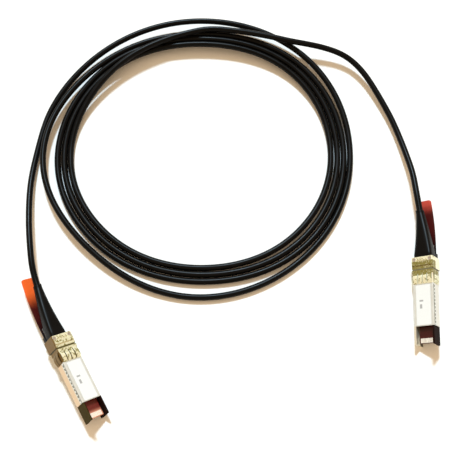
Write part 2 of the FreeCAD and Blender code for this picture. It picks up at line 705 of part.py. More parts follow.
def boot(side, place):
    """Moulded strain relief that tapers from the metal to the cable and bends with it."""
    wide = (size("boot_width"), size("boot_height"), size("boot_round"))
    tip = (size("boot_tip"), size("boot_tip"), size("boot_tip_round"))
    inside, corner, end = relief_spine(side)
    forward = (inside - corner).normalize()
    last = (corner - end).normalize()
    rings = [rounded_ring(Vector(0, 0, 0), forward, *wide),
             rounded_ring(Vector(-size("boot_straight"), 0, 0), forward, *wide),
             rounded_ring(end, last, *tip)]
    stiff = Part.makeLoft(rings[:2], True, True)
    taper = Part.makeLoft(rings[1:], True, True)
    bore = tube([inside, corner, end - last * 2], size("cable_dia"))
    thing = doc.addObject("Part::Feature", "boot")
    thing.Shape = stiff.fuse(taper).cut(bore)
    return finish_node(thing, side + "_boot", place)


def arc_strip(body, role, reach):
    """Sketch of a thin bowed strip: two arcs on one centre, closed at both ends."""
    start = size("collar_start") + size("collar_band") - size("collar_thick")
    end = size("collar_start") + size("collar_band") + size("finger_length")
    rise = size("finger_rise")
    thick = size("collar_thick")
    half = (end - start) / 2
    radius = (half ** 2 + rise ** 2) / (2 * rise)
    middle = (start + end) / 2
    sketch = body.newObject("Sketcher::SketchObject", "strip")
    sketch.AttachmentSupport = (origin_plane(body, role), [""])
    sketch.MapMode = "FlatFace"
    centre = Vector(middle, reach + rise - radius, 0)
    angle = math.asin(half / radius)
    ends = []
    for r in (radius, radius + thick):
        arc = Part.ArcOfCircle(Part.Circle(centre, Vector(0, 0, 1), r),
                               math.pi / 2 - angle, math.pi / 2 + angle)
        sketch.addGeometry(arc)
        ends.append((centre + Vector(r * math.sin(angle), r * math.cos(angle), 0),
                     centre + Vector(-r * math.sin(angle), r * math.cos(angle), 0)))
    for side_index in (0, 1):
        sketch.addGeometry(Part.LineSegment(ends[0][side_index], ends[1][side_index]))
        sketch.addConstraint(Sketcher.Constraint("Coincident", 2 + side_index, 1,
                                                 0, 1 + side_index))
        sketch.addConstraint(Sketcher.Constraint("Coincident", 2 + side_index, 2,
                                                 1, 1 + side_index))
    return sketch


def emi_collar(side, place):
    """Stamped spring collar: a closed band with rows of bowed fingers on all four faces."""
    body = new_body(side + "_emi_collar")
    half_y = "dim.body_width / 2"
    half_z = "dim.body_height / 2"
    thick = " + dim.collar_thick"
    band = [rectangle(f"-{half_y} - dim.collar_thick", half_y + thick,
                      f"-{half_z} - dim.collar_thick", half_z + thick),
            rectangle("-" + half_y, half_y, "-" + half_z, half_z)]
    sketch = outline(body, "YZ_Plane", band, "dim.collar_start")
    pad(body, sketch, "dim.collar_band")
    for role, reach, span in (("XZ_Plane", size("body_height") / 2, "4 * dim.finger_pitch"),
                              ("XY_Plane", size("body_width") / 2, "dim.side_finger_span")):
        strip = arc_strip(body, role, reach)
        leaf = pad(body, strip, span, midplane=True)
        mirror = body.newObject("PartDesign::Mirrored", "opposite")
        mirror.Originals = [leaf]
        across = "XY_Plane" if role == "XZ_Plane" else "XZ_Plane"
        mirror.MirrorPlane = (origin_plane(body, across), [""])
        body.Tip = mirror
        doc.recompute()
    start = "dim.collar_start + dim.collar_band"
    finish = f"{start} + dim.finger_length + 1"
    slots = [rectangle(start, finish, f"{k} * dim.finger_pitch - dim.finger_slot / 2",
                       f"{k} * dim.finger_pitch + dim.finger_slot / 2") for k in (-1, 0, 1)]
    pocket(body, outline(body, "XY_Plane", slots), "2 * dim.body_height", midplane=True)
    slot = rectangle(start, finish, "-dim.finger_slot / 2", "dim.finger_slot / 2")
    pocket(body, outline(body, "XZ_Plane", [slot]), "2 * dim.body_width", midplane=True)
    return finish_node(body, side + "_emi_collar", place)


def slot_keeper(side, place):
    """Plate pressed into the block's underside to close the slider's slot."""
    plate = box("plate", "dim.keeper_length", "dim.keeper_width", "dim.keeper_thick",
                "dim.rear_length / 2 - dim.keeper_length / 2", "-dim.keeper_width / 2",
                BLOCK_BOTTOM)
    return finish_node(compound("keeper", [plate]), side + "_slot_keeper", place)


def release_slider(side, place):
    """Bent slider: a tail under the boot, a step, and two rails with ramps at the latch."""
    body = new_body(side + "_release_slider")
    tail_top = "-(dim.slot_roof + dim.fit_gap)"
    tail_low = "-(dim.slot_roof + dim.fit_gap + dim.slider_thick)"
    rail_low = "-(dim.rail_top + dim.slider_thick)"
    riser_end = "dim.riser_start + dim.riser_length"
    profile = [("-dim.slider_tail", tail_low), (riser_end, tail_low), (riser_end, rail_low),
               ("dim.rail_end", rail_low), ("dim.rail_end", "dim.ramp_rise - dim.rail_top"),
               ("dim.ramp_start + dim.ramp_run", "dim.ramp_rise - dim.rail_top"),
               ("dim.ramp_start", "-dim.rail_top"), ("dim.riser_start", "-dim.rail_top"),
               ("dim.riser_start", tail_top), ("-dim.slider_tail", tail_top)]
    pad(body, outline(body, "XZ_Plane", [profile]), "dim.slider_width", midplane=True)
    between = rectangle(riser_end, "dim.rail_end + 1",
                        "-(dim.slider_width / 2 - dim.rail_width)",
                        "dim.slider_width / 2 - dim.rail_width")
    pocket(body, outline(body, "XY_Plane", [between]), "4 * dim.body_height", midplane=True)
    hole = circle_outline(body, "XY_Plane", [("-dim.rivet_back", "0", "dim.rivet_dia / 2")])
    pocket(body, hole, "4 * dim.body_height", midplane=True)
    return finish_node(body, side + "_release_slider", place)


def latch_lever(side, place):
    """Lever with a split eye at the rear, a wedge-shaped boss and two ears at the front."""
    body = new_body(side + "_latch_lever")
    low = "-(dim.lever_top + dim.lever_thick)"
    plate = rectangle("dim.pivot_along", "dim.lever_end", low, "-dim.lever_top")
    pad(body, outline(body, "XZ_Plane", [plate]), "dim.lever_width", midplane=True)
    eye = circle_outline(body, "XZ_Plane",
                         [("dim.pivot_along", "-dim.pivot_below", "dim.barrel_dia / 2")])
    pad(body, eye, "dim.lever_width", midplane=True)
    ears = rectangle("dim.ear_start", "dim.ear_start + dim.ear_length",
                     "-(dim.lever_top + dim.ear_thick)", "-dim.lever_top")
    pad(body, outline(body, "XZ_Plane", [ears]), "dim.ear_span", midplane=True)
    tip = "-(dim.lever_top + dim.lever_thick + dim.boss_height)"
    boss = [("dim.boss_start", tip), ("dim.boss_start + dim.boss_flat", tip),
            ("dim.boss_start + dim.boss_length", low), ("dim.boss_start", low)]
    pad(body, outline(body, "XZ_Plane", [boss]), "dim.boss_width", midplane=True)
    window = rectangle("dim.pivot_along - dim.barrel_dia", "dim.pivot_along + dim.lever_window",
                       "-dim.window_width / 2", "dim.window_width / 2")
    pocket(body, outline(body, "XY_Plane", [window]), "4 * dim.body_height", midplane=True)
    bore = circle_outline(body, "XZ_Plane", [("dim.pivot_along", "-dim.pivot_below",
                                              "dim.pin_dia / 2 + dim.pin_clearance")])
    pocket(body, bore, "2 * dim.lever_width", midplane=True)
    return finish_node(body, side + "_latch_lever", place)


def latch_pin(side, place):
    """Pin pressed into both walls of the latch pocket."""
    length = "dim.pocket_width + 2 * dim.pin_seat"
    pin = cylinder("pin", "dim.pin_dia / 2", length, "dim.pivot_along",
                   "-(dim.pocket_width / 2 + dim.pin_seat)", "-dim.pivot_below", ALONG_Y)
    return finish_node(compound("latch_pin", [pin]), side + "_latch_pin", place)


def latch_spring(side, place):
    """Torsion spring round the pin, with one leg in the lever and one under the roof."""
    wire = size("spring_wire")
    radius = size("spring_mean") / 2
    pitch = wire * 1.15
    width = pitch * size("spring_turns")
    coil = Part.makeHelix(pitch, width, radius)
    coil.rotate(Vector(0, 0, 0), Vector(0, 0, 1), 90)
    coil.rotate(Vector(0, 0, 0), Vector(1, 0, 0), -90)
    coil.translate(Vector(size("pivot_along"), -width / 2, -size("pivot_below")))
    low_end = Vector(size("pivot_along"), -width / 2, -size("pivot_below") - radius)
    high_end = Vector(size("pivot_along"), width / 2, -size("pivot_below") + radius)
    flats = [Vector(0, math.cos(math.radians(60 * k)), math.sin(math.radians(60 * k))) * wire / 2
             for k in range(7)]
    ring = Part.makePolygon([low_end + flat for flat in flats])
    turns = Part.Wire(coil.Edges).makePipeShell([ring], True, True)
    low_leg = Part.Face(ring).extrude(Vector(size("lever_window"), 0, 0))
    high_ring = Part.makePolygon([high_end + flat for flat in flats])
    high_leg = Part.Face(high_ring).extrude(Vector(size("spring_leg"), 0, 0))
    thing = doc.addObject("Part::Feature", "latch_spring")
    thing.Shape = Part.makeCompound([turns, low_leg, high_leg])
    return finish_node(thing, side + "_latch_spring", place)


def pull_tab(side, place):
    """Flat flexible strip riveted under the slider's tail."""
    body = new_body(side + "_pull_tab")
    shift = f"dim.{side}_bend"
    root = "-(dim.rivet_back + dim.rivet_head)"
    strip = [("-dim.tab_reach", f"{shift} - dim.tab_width / 2"), (root, "-dim.tab_width / 2"),
             ("-dim.tab_front", "-dim.tab_width / 2"), ("-dim.tab_front", "dim.tab_width / 2"),
             (root, "dim.tab_width / 2"), ("-dim.tab_reach", f"{shift} + dim.tab_width / 2")]
    low = "-(dim.slot_roof + dim.fit_gap + dim.slider_thick + dim.tab_thick)"
    pad(body, outline(body, "XY_Plane", [strip], low), "dim.tab_thick")
    reach = size("tab_reach")
    edges = edges_where(body.Shape, lambda a, b: abs(a.z - b.z) > 0.1 and abs(a.x + reach) < 1e-4)
    soften(body, "Fillet", edges, "dim.tab_round")
    hole = circle_outline(body, "XY_Plane", [("-dim.rivet_back", "0", "dim.rivet_dia / 2")])
    pocket(body, hole, "4 * dim.body_height", midplane=True)
    return finish_node(body, side + "_pull_tab", place)


def tab_holder(side, place):
    """Dark sleeve round the tab's root and the slider's tail."""
    body = new_body(side + "_tab_holder")
    tail_top = "-(dim.slot_roof + dim.fit_gap)"
    tab_low = "-(dim.slot_roof + dim.fit_gap + dim.slider_thick + dim.tab_thick)"
    ring = [rectangle("-dim.holder_width / 2", "dim.holder_width / 2",
                      tab_low + " - dim.holder_wall", tail_top + " + dim.holder_wall"),
            rectangle("-dim.tab_width / 2 - dim.fit_gap", "dim.tab_width / 2 + dim.fit_gap",
                      tab_low, tail_top)]
    sketch = outline(body, "YZ_Plane", ring, "-dim.tab_front - dim.holder_length")
    pad(body, sketch, "dim.holder_length")
    return finish_node(body, side + "_tab_holder", place)


def tab_rivet(side, place):
    """Rivet through the pull tab and the slider's tail."""
    head_low = ("-(dim.slot_roof + dim.fit_gap + dim.slider_thick + dim.tab_thick"
                " + dim.rivet_head_thick)")
    shank = cylinder("shank", "dim.rivet_dia / 2",
                     "dim.slider_thick + dim.tab_thick + 2 * dim.rivet_head_thick",
                     "-dim.rivet_back", "0", head_low)
    low_head = cylinder("low_head", "dim.rivet_head / 2", "dim.rivet_head_thick",
                        "-dim.rivet_back", "0", head_low)
    high_head = cylinder("high_head", "dim.rivet_head / 2", "dim.rivet_head_thick",
                         "-dim.rivet_back", "0", "-(dim.slot_roof + dim.fit_gap)")
    rivet = fuse("rivet", [shank, low_head, high_head])
    return finish_node(rivet, side + "_tab_rivet", place)


PLUG_PIECES = [base_shell, nose_frame, rear_cap, cap_screws, top_cover, blank_label, paddle_card,
               contact_pads, card_components, signal_wires, cable_end, crimp_ferrule, boot,
               emi_collar, slot_keeper, release_slider, latch_lever, latch_pin, latch_spring,
               pull_tab, tab_holder, tab_rivet]

places = {}
for side in ("left", "right"):
    places[side] = resting_place(side)
    for piece in PLUG_PIECES:
        piece(side, places[side])


# ---- the cable ------------------------------------------------------------------------------

# How far the cable lies from the coil's centre at each eighth of a turn, clockwise from the
# left, as it winds inwards for three turns and then crosses over them to leave at the back.
COIL_RADII = [112.5, 109.5, 108.5, 109.0, 102.0, 101.0, 100.0, 98.7,
              107.5, 101.7, 94.5, 101.5, 97.2, 92.3, 87.0, 91.5,
              97.0, 96.8, 88.2, 92.0, 90.0, 85.0, 81.0, 84.5,
              89.5, 90.0, 97.0, 125.0, 150.0]
COIL_START = 166.0
COIL_END = 56.0 - 3 * 360.0
BACK_LIFT = 3.0


def coil_radius(angle):
    """Smooth blend of the eighth-turn radii; the angle falls as the cable winds clockwise."""
    place = (180.0 - angle) / 45.0
    k = min(max(int(place), 0), len(COIL_RADII) - 2)
    t = place - k
    before = COIL_RADII[max(k - 1, 0)]
    here = COIL_RADII[k]
    there = COIL_RADII[k + 1]
    after = COIL_RADII[min(k + 2, len(COIL_RADII) - 1)]
    slope_in = (there - before) / 2
    slope_out = (after - here) / 2
    return ((2 * t ** 3 - 3 * t ** 2 + 1) * here + (t ** 3 - 2 * t ** 2 + t) * slope_in
            + (3 * t ** 2 - 2 * t ** 3) * there + (t ** 3 - t ** 2) * slope_out)


def coil_height(angle):
    """Cable's centre above the floor: a little raised at the back, the last pass on top."""
    lift = BACK_LIFT * max(0.0, math.sin(math.radians(angle))) ** 1.5
    climb = min(max((-900.0 - angle) / 55.0, 0.0), 1.0)
    climb = climb * climb * (3 - 2 * climb)
    return size("cable_dia") / 2 + lift + climb * (size("cable_dia") + 0.2)


def coil_point(angle, sideways=0.0):
    spread = coil_radius(angle) + sideways
    return Vector(size("coil_x") + spread * math.cos(math.radians(angle)),
                  size("coil_y") + spread * math.sin(math.radians(angle)),
                  coil_height(angle))


def boot_tip(side, behind=0.0):
    """End of a plug's strain relief, or a point further back along the cable."""
    inside, corner, end = relief_spine(side)
    return places[side].multVec(end + (end - corner).normalize() * behind)


def heading_at(angle):
    """Level direction in which the cable winds past an angle of the coil."""
    ahead = coil_point(angle - 0.5) - coil_point(angle + 0.5)
    return Vector(ahead.x, ahead.y, 0).normalize()


LEFT_LEAD = [Vector(-133.5, 50.7, 10.2), Vector(-135.8, 77.7, 6.6)]
RIGHT_LEAD = [Vector(93.7, 178.2, 6.6), Vector(106.2, 157.7, 5.4), Vector(112.9, 135.2, 5.0),
              Vector(119.2, 113.7, 6.2), Vector(124.1, 93.7, 9.0)]
LAST_RUN = 28.0

coil_in = coil_point(COIL_START)
coil_out = coil_point(COIL_END)
left_points = ([boot_tip("left"), boot_tip("left", 2 * size("tip_straight"))] + LEFT_LEAD
               + [coil_in - heading_at(COIL_START) * LAST_RUN, coil_in])
right_points = ([coil_out, coil_out + heading_at(COIL_END) * LAST_RUN] + RIGHT_LEAD
                + [boot_tip("right", 2 * size("tip_straight")), boot_tip("right")])


def coil_solid():
    """Outer shape of the coiled turns: a ring, higher at the back where the turns cross."""
    margin = size("cable_dia") / 2 + 0.1
    centre = Vector(size("coil_x"), size("coil_y"), 0)

    def edge_point(angle, reach):
        return centre + Vector(reach * math.cos(math.radians(angle)),
                               reach * math.sin(math.radians(angle)), 0)

    def arcs(points):
        """Arcs that each run through three points of an odd-numbered list."""
        return [Part.Arc(*points[k:k + 3]).toShape() for k in range(0, len(points) - 2, 2)]

    def step(angle, inner_angle):
        """Ends of the flat face, square to the cable, where a lead meets the ring."""
        ahead = heading_at(angle)
        out = Vector(-ahead.y, ahead.x, 0)
        middle = coil_point(angle)
        middle.z = 0
        outer = middle + out * margin
        reach = margin
        while (middle - out * reach - centre).Length > coil_radius(inner_angle) + margin:
            reach += 0.05
        return outer, middle - out * reach

    left_outer, left_inner = step(COIL_START, COIL_START - 360)
    right_outer, right_inner = step(COIL_END, COIL_END + 1080)
    back = [left_outer]
    for k in range(1, 10):
        angle = COIL_START + (COIL_END + 1080 - COIL_START) * k / 10
        reach = coil_radius(angle)
        if angle < 90:
            reach = max(reach, coil_radius(angle - 1080))
        back.append(edge_point(angle, reach + margin))
    back.append(right_outer)
    front = [right_inner]
    for k in range(1, 16):
        angle = COIL_END + 1080 + (COIL_START - 360 - COIL_END - 1080) * k / 16
        front.append(edge_point(angle, coil_radius(angle) + margin))
    front.append(left_inner)
    rim = Part.Wire(arcs(back) + [Part.LineSegment(right_outer, right_inner).toShape()]
                    + arcs(front) + [Part.LineSegment(left_inner, left_outer).toShape()])
    inside = []
    for k in range(24):
        angle = 180 - 360 * k / 24
        reach = coil_radius(angle - 720)
        if angle > 90:
            reach = min(reach, coil_radius(angle - 1080))
        inside.append(edge_point(angle, reach - margin))
    hole = Part.Wire(arcs(inside + inside[:1]))
    flat = Part.Face(rim).cut(Part.Face(hole))
    ring = flat.extrude(Vector(0, 0, 3 * size("cable_dia")))
    low = size("cable_dia")
    high = coil_height(90 - 1080) + size("cable_dia") / 2
    near = size("coil_y") - 110
    far = size("coil_y") + 110
    corners = [Vector(-200, near, low), Vector(-200, far, high),
               Vector(-200, far, 50), Vector(-200, near, 50), Vector(-200, near, low)]
    wedge = Part.Face(Part.makePolygon(corners)).extrude(Vector(400, 0, 0))
    return ring.cut(wedge)


coil = doc.addObject("Part::Feature", "cable_coil")
coil.Shape = coil_solid()
coil.Label = "cable_coil"
nodes.append(coil)
for name, points in (("left_cable_lead", left_points), ("right_cable_lead", right_points)):
    lead = doc.addObject("Part::Feature", name)
    lead.Shape = tube(points, size("cable_dia"), name)
    lead.Label = name
    nodes.append(lead)

doc.recompute()
faulty = [thing.Label for thing in doc.Objects if {"Invalid", "Error"} & set(thing.State)]
faulty += [thing.Label for thing in nodes if thing.Shape.isNull() or not thing.Shape.isValid()]
if faulty:
    raise RuntimeError("not built: " + ", ".join(faulty))

os.makedirs("parts", exist_ok=True)
for thing in nodes:
    thing.Shape.exportStep(f"parts/{thing.Label}.step")
    box_now = thing.Shape.BoundBox
    print(thing.Label, len(thing.Shape.Solids), round(thing.Shape.Volume, 2),
          [round(v, 2) for v in (box_now.XMin, box_now.XMax, box_now.YMin, box_now.YMax,
                                 box_now.ZMin, box_now.ZMax)])
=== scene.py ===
import math

import bpy
import numpy as np
from mathutils import Matrix, Vector


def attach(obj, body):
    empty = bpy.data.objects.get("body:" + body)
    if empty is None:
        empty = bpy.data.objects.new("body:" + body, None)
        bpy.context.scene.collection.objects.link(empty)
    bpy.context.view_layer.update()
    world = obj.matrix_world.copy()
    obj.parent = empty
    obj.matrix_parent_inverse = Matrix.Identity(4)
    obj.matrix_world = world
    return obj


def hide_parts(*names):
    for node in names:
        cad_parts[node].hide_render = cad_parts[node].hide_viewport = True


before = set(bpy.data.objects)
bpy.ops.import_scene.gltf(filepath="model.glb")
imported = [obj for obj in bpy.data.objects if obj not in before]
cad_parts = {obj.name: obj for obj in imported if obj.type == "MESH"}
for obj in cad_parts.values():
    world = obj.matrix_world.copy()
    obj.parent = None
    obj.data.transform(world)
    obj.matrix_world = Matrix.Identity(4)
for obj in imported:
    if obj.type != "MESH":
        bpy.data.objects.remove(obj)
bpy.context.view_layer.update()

scene = bpy.context.scene

# ---------------------------------------------------------------------------------------------
# Camera: looks down at the cable from 68 degrees above the floor, half a metre away.
look_at = Vector((-0.00314, 0.05774, 0.0))
camera_distance = 0.525
field_of_view = 32.0
elevation = math.radians(68.0)
camera_data = bpy.data.cameras.new("camera")
camera_data.angle = math.radians(field_of_view)
camera_data.clip_start = 0.01
camera = bpy.data.objects.new("camera", camera_data)
camera.location = look_at + camera_distance * Vector((0, -math.cos(elevation), math.sin(elevation)))
camera.rotation_euler = (math.radians(90.0) - elevation, 0, 0)
scene.collection.objects.link(camera)
scene.camera = camera
scene.view_settings.view_transform = "Standard"

# ---------------------------------------------------------------------------------------------
# The two plugs' places.  Each plug lies on its lower edges, rolled a little towards the coil.
# A plug's own axes are x from the strain relief to the mating end, y across, z out of the label.
plug_rest = {
    "left": ((-0.10719, -0.02017, 0.00959), (-35.0, 2.6988, -61.0)),
    "right": ((0.12457, 0.03134, 0.009653), (38.0, 2.6378, -92.9)),
}
relief_length = {"left": 36.5, "right": 33.0}
relief_bend = {"left": 3.0, "right": -2.4}


def plug_matrix(side):
    """A plug's millimetres to the scene's metres: roll about x, pitch about y, heading about z, then move."""
    place, (roll, pitch, heading) = plug_rest[side]
    turn = (Matrix.Rotation(math.radians(heading), 4, "Z")
            @ Matrix.Rotation(math.radians(pitch), 4, "Y")
            @ Matrix.Rotation(math.radians(roll), 4, "X"))
    return Matrix.Translation(place) @ turn @ Matrix.Scale(0.001, 4)


def behind_relief(side, distance):
    """Point on the cable's line, that many millimetres behind the strain relief's thin end."""
    ahead = Vector((-relief_length[side], 2 * relief_bend[side], 0)).normalized()
    end = Vector((-relief_length[side], relief_bend[side], 0))
    return tuple(plug_matrix(side) @ (end + ahead * distance))


# ---------------------------------------------------------------------------------------------
# Finishes: every surface is built from the same few steps, which are colour clouds, bands along
# a plug's own axes, fine relief and edges that catch the light.  The rubber and the jacket are
# one black polymer.
class Value:
    """A shader socket that can be added, scaled and compared like a number."""

    def __init__(self, finish, socket):
        self.finish = finish
        self.socket = socket

    def math(self, operation, *others):
        return self.finish.node("ShaderNodeMath", {"operation": operation}, self, *others)

    def __add__(self, other):
        return self.math("ADD", other)

    __radd__ = __add__

    def __mul__(self, other):
        return self.math("MULTIPLY", other)

    __rmul__ = __mul__

    def __sub__(self, other):
        return self.math("SUBTRACT", other)

    def __rsub__(self, other):
        return self.finish.node("ShaderNodeMath", {"operation": "SUBTRACT"}, other, self)

    def __truediv__(self, other):
        return self.math("DIVIDE", other)

    def __neg__(self):
        return self * -1.0

    def __abs__(self):
        return self.math("ABSOLUTE")

    def rise(self, start, end):
        """0 before start, 1 after end, and a smooth step between them."""
        settings = {"interpolation_type": "SMOOTHSTEP"}
        return self.finish.node("ShaderNodeMapRange", settings, self, start, end)

    def within(self, low, high, soft):
        """1 between low and high, falling to 0 over a soft edge outside them."""
        return self.rise(low - soft, low) * (1 - self.rise(high, high + soft))


class Finish:
    """A surface finish: a principled shader, and one method that adds any other node."""

    def __init__(self, name, **constants):
        self.material = bpy.data.materials.new(name)
        self.material.use_nodes = True
        self.tree = self.material.node_tree
        self.shader = self.tree.nodes["Principled BSDF"]
        for words, value in constants.items():
            self.shader.inputs[words.replace("_", " ")].default_value = value

    def plug_in(self, socket, value):
        if isinstance(value, Value):
            self.tree.links.new(value.socket, socket)
        elif value is not None:
            socket.default_value = value

    def node(self, kind, settings, *values, output=0, **named):
        made = self.tree.nodes.new(kind)
        for setting, value in settings.items():
            setattr(made, setting, value)
        for socket, value in zip(made.inputs, values):
            self.plug_in(socket, value)
        for words, value in named.items():
            self.plug_in(made.inputs[words.replace("_", " ")], value)
        return Value(self, made.outputs[output])

    def feed(self, words, value):
        self.plug_in(self.shader.inputs[words], value)

    def blend(self, amount, low, high):
        """Colour from low to high; each is four numbers or another colour."""
        made = self.tree.nodes.new("ShaderNodeMix")
        made.data_type = "RGBA"
        for place, value in ((0, amount), (6, low), (7, high)):
            self.plug_in(made.inputs[place], value)
        return Value(self, made.outputs[2])

    def noise(self, scale, detail=3.0, where=None):
        """Cloudy noise from 0 to 1 in object space, or over other coordinates."""
        if where is None:
            where = self.node("ShaderNodeTexCoord", {}, output="Object")
        return self.node("ShaderNodeTexNoise", {}, Vector=where, Scale=scale, Detail=detail)

    def relief(self, height, distance, strength=1.0, normal=None):
        """Bump from a height; the distance is how deep a height of 1 is, in metres."""
        return self.node("ShaderNodeBump", {}, Strength=strength, Distance=distance,
                         Height=height, Normal=normal, output="Normal")

    def soft_edges(self, radius):
        """Normal that rounds hard edges over a small radius."""
        return self.node("ShaderNodeBevel", {"samples": 6}, radius, output="Normal")


def jacket_finish(name, tone, roughness):
    """Black polymer with faint cloudiness and a fine extruded skin."""
    finish = Finish(name, Specular_IOR_Level=0.09)
    cloud = finish.noise(90.0)
    grain = finish.noise(2600.0, 2.0)
    finish.feed("Base Color", finish.blend(cloud, (tone, tone, tone, 1),
                                           (2.2 * tone, 2.1 * tone, 2.1 * tone, 1)))
    finish.feed("Roughness", roughness + (cloud - 0.5) * 0.25)
    finish.feed("Normal", finish.relief(grain, 0.00004, 0.5))
    return finish.material


def plug_space(finish, side):
    """Place on a plug in its own millimetres: along, across and out of the label face."""
    place, (roll, pitch, heading) = plug_rest[side]
    turn = tuple(math.radians(angle) for angle in (roll, pitch, heading))
    spot = finish.node("ShaderNodeTexCoord", {}, output="Object")
    local = finish.node("ShaderNodeMapping", {"vector_type": "TEXTURE"}, spot, place, turn,
                        (0.001, 0.001, 0.001))
    parts = finish.tree.nodes.new("ShaderNodeSeparateXYZ")
    finish.tree.links.new(local.socket, parts.inputs[0])
    return [Value(finish, parts.outputs[k]) for k in range(3)] + [local]


def dress(side, piece, material):
    """Give one carried-over piece of a plug its material."""
    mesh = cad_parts[f"{side}_{piece}"].data
    mesh.materials.clear()
    mesh.materials.append(material)


# ---------------------------------------------------------------------------------------------
# The cable: one round copper cable under a black matt jacket, 4.2 mm across.  It drops from the
# left plug to the floor, winds inwards for four loose turns, climbs over them at the back and
# runs to the right plug.  Both ends are moulded into the plugs.
cable_diameter = 0.0042
coil_centre = (-0.02104, 0.10914)
coil_start = 166.0
coil_end = 86.0 - 4 * 360.0
coil_radii = 0.001 * np.array([
    112.5, 109.0, 108.2, 108.4, 103.6, 101.7, 102.0, 99.7,
    107.5, 101.7, 96.8, 101.0, 99.2, 96.6, 91.2, 93.5,
    98.3, 97.3, 92.4, 96.3, 94.8, 91.8, 86.5, 88.8,
    93.7, 93.0, 88.0, 91.7, 90.3, 86.4, 81.9, 84.2,
    89.3, 90.0, 97.0, 125.0, 150.0])
eighth_turn = 45.0
back_lift = 0.005
left_lift = 0.005
left_lift_angle = -165.0
left_lift_span = 75.0
climb_angle = -1260.0
climb_span = 55.0
crossing_gap = 0.0002


def coil_point(angle):
    """Centre of the cable at an angle that falls clockwise, from 180 degrees at the left.

    The radius is a cubic blend of one radius per eighth of a turn.  The height is half the
    cable, plus a soft lift at the back and one where the second turn starts at the left, plus
    one diameter where the last pass lies on top."""
    place = (180.0 - angle) / eighth_turn
    k = min(int(place), len(coil_radii) - 2)
    t = place - k
    a, b, c, d = (coil_radii[min(max(k + step, 0), len(coil_radii) - 1)] for step in (-1, 0, 1, 2))
    radius = ((2 * t**3 - 3 * t**2 + 1) * b + (t**3 - 2 * t**2 + t) * (c - a) / 2
              + (3 * t**2 - 2 * t**3) * c + (t**3 - t**2) * (d - b) / 2)
    turn = math.radians(angle)
    climb = min(max((climb_angle - angle) / climb_span, 0.0), 1.0)
    climb = climb * climb * (3 - 2 * climb)
    aside = min(abs(angle - left_lift_angle) / left_lift_span, 1.0)
    height = (cable_diameter / 2 + back_lift * max(0.0, math.sin(turn)) ** 1.5
              + left_lift * (1 - aside * aside * (3 - 2 * aside))
              + climb * (cable_diameter + crossing_gap))
    return (coil_centre[0] + radius * math.cos(turn),
            coil_centre[1] + radius * math.sin(turn), height)


route = [behind_relief("left", 0), behind_relief("left", 5), (-0.1275, 0.0270, 0.0099),
         (-0.1300, 0.0402, 0.0092), (-0.1325, 0.0550, 0.0076), (-0.1345, 0.0735, 0.0056),
         (-0.1351, 0.0900, 0.0038), (-0.1336, 0.1080, 0.0026)]
route += [coil_point(angle) for angle in np.arange(coil_start, coil_end - 1.0, -10.0)]
route += [(0.0084, 0.2047, 0.0114), (0.0207, 0.2023, 0.0113), (0.0322, 0.1997, 0.0112),
          (0.0422, 0.1970, 0.0110), (0.0544, 0.1950, 0.0102), (0.0659, 0.1929, 0.0092),
          (0.0781, 0.1889, 0.0082), (0.0872, 0.1828, 0.0072), (0.0953, 0.1729, 0.0064),
          (0.1017, 0.1609, 0.0056), (0.1079, 0.1475, 0.0049), (0.1127, 0.1356, 0.0046),
          (0.1171, 0.1208, 0.0048), (0.1209, 0.1040, 0.0062), (0.1229, 0.0920, 0.0076),
          behind_relief("right", 14), behind_relief("right", 7), behind_relief("right", 0)]

cable_curve = bpy.data.curves.new("cable", "CURVE")
cable_curve.dimensions = "3D"
spline = cable_curve.splines.new("NURBS")
spline.points.add(len(route) - 1)
for point, place in zip(spline.points, route):
    point.co = (*place, 1.0)
spline.order_u = 3
spline.use_endpoint_u = True
spline.resolution_u = 6
cable_curve.bevel_depth = cable_diameter / 2
cable_curve.bevel_resolution = 6
cable = bpy.data.objects.new("cable", cable_curve)
scene.collection.objects.link(cable)

# The smooth line cuts the corners of the route, so it is half a percent shorter.
cable_curve.materials.append(jacket_finish("cable_jacket", 0.0016, 0.30))
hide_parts("left_cable_lead", "cable_coil", "right_cable_lead")
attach(cable, "cable_and_plugs")


# ---------------------------------------------------------------------------------------------
# Strain reliefs: black rubber moulded over the cable and the ferrule, a rounded block at the
# metal that tapers to a round lip on the cable and bends with it.  The cable's own end runs on
# inside to the ferrule.  Sizes are in millimetres, and where the taper and the lip start and how
# long they run are shares of the length.
relief_sides = {"left": (-5.9, 4.9), "right": (-6.1, 6.1)}
relief_height = 9.2
lip_radius = 2.65
lip_swell = 0.12
lip_start = 0.95
lip_share = 0.01
taper_start = 0.07
taper_share = 0.90
block_power = 0.42
power_gain = 0.58
inner_end = 6.4
cable_radius = 500 * cable_diameter


def place_mesh(name, side, points, faces):
    """Smooth mesh object whose points are given in a plug's millimetres."""
    matrix = np.array(plug_matrix(side))
    placed = points @ matrix[:3, :3].T + matrix[:3, 3]
    mesh = bpy.data.meshes.new(name)
    mesh.from_pydata(placed.tolist(), [], faces)
    mesh.polygons.foreach_set("use_smooth", [True] * len(mesh.polygons))
    mesh.update()
    piece = bpy.data.objects.new(name, mesh)
    scene.collection.objects.link(piece)
    return piece


def closed_skin(points, first=0):
    """Points flattened, and faces turned outward: quads between rings, one face on each end."""
    rows, columns = points.shape[:2]
    index = first + np.arange(rows * columns).reshape(rows, columns)
    quads = np.stack([index[:-1], index[1:], np.roll(index[1:], -1, axis=1),
                      np.roll(index[:-1], -1, axis=1)], axis=-1).reshape(-1, 4)
    caps = [index[0].tolist(), index[-1][::-1].tolist()]
    return points.reshape(-1, 3), quads.tolist() + caps


